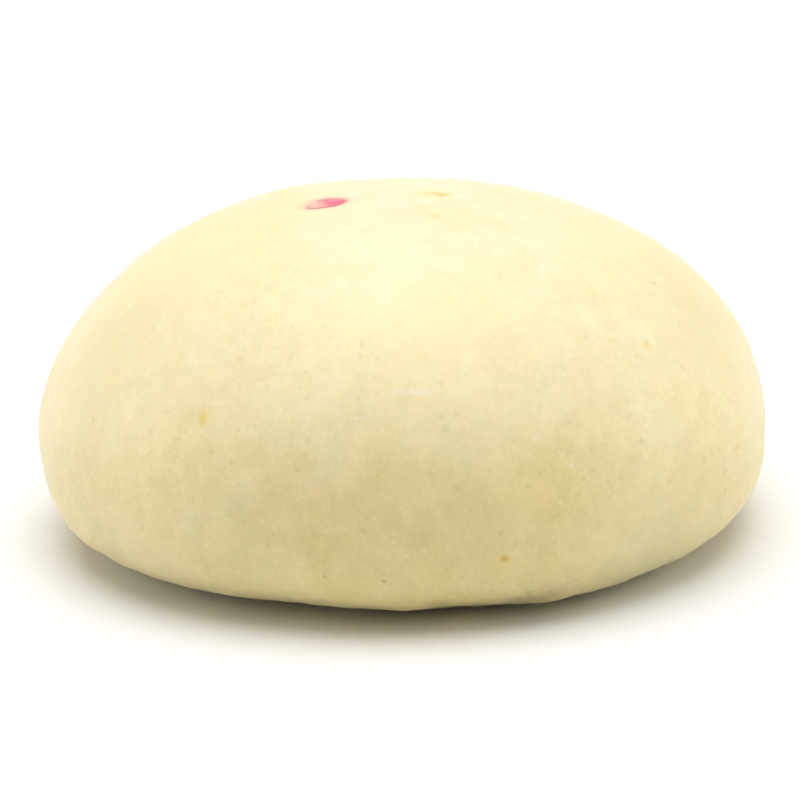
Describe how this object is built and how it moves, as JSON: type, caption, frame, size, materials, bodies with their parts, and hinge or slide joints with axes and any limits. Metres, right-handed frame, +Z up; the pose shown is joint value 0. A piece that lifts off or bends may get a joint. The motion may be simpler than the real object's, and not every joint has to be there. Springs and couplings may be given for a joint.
{
  "type": "steamed bun",
  "caption": "Smooth domed steamed bun with a bulging belly, a tucked-under wall, a flat underside and a small dyed ring on its crown.",
  "frame": {"origin": "middle of the underside, on the table that the bun sits on", "axes": "+Z up through the crown, +X to the bun's right as its dyed ring is seen left of the crown, +Y towards the back"},
  "size_m": [0.0992, 0.1002, 0.0462],
  "materials": {
    "steamed_dough": "matte"
  },
  "bodies": {
    "root": {"bun": "steamed_dough"}
  },
  "joints": []
}
